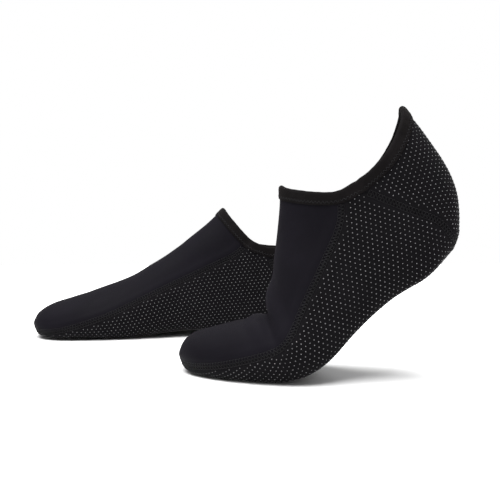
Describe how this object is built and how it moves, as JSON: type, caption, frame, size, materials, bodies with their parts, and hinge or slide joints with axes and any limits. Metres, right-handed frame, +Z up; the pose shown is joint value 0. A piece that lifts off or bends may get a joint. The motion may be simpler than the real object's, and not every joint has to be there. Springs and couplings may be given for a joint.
{
  "type": "pair of water socks",
  "caption": "Pair of low-cut neoprene water socks with sewn vamp, grip-printed wrap sole, heel cup and bound collar; the left is bent on tiptoe, the right stands flat.",
  "frame": {"origin": "middle of the pair's footprint, on the floor", "axes": "+X from the toes to the heels, +Y from the left sock to the right sock, +Z up"},
  "size_m": [0.307, 0.3002, 0.1862],
  "materials": {
    "jersey": "matt black knitted jersey on foam",
    "grip_knit": "black fine mesh knit on foam with small raised grey grip dots",
    "tape": "matt black stretch binding tape",
    "thread": "black polyester stitching thread, slight sheen"
  },
  "bodies": {
    "right_sock": {"right_vamp_panel": "jersey", "right_sole_panel": "grip_knit", "right_heel_panel": "grip_knit", "right_collar_binding": "tape", "right_vamp_seam_outer": "thread", "right_vamp_seam_inner": "thread", "right_heel_seam_outer": "thread", "right_heel_seam_inner": "thread", "right_collar_stitch_outer": "thread", "right_collar_stitch_inner": "thread"},
    "left_sock": {"left_vamp_panel": "jersey", "left_sole_panel": "grip_knit", "left_heel_panel": "grip_knit", "left_collar_binding": "tape", "left_vamp_seam_outer": "thread", "left_vamp_seam_inner": "thread", "left_heel_seam_outer": "thread", "left_heel_seam_inner": "thread", "left_collar_stitch_outer": "thread", "left_collar_stitch_inner": "thread"}
  },
  "joints": [
    {"name": "left_sock_lift", "type": "slide", "parent": "right_sock", "child": "left_sock", "axis": [0, 0, 1], "range_m": [0, 0.25]}
  ]
}
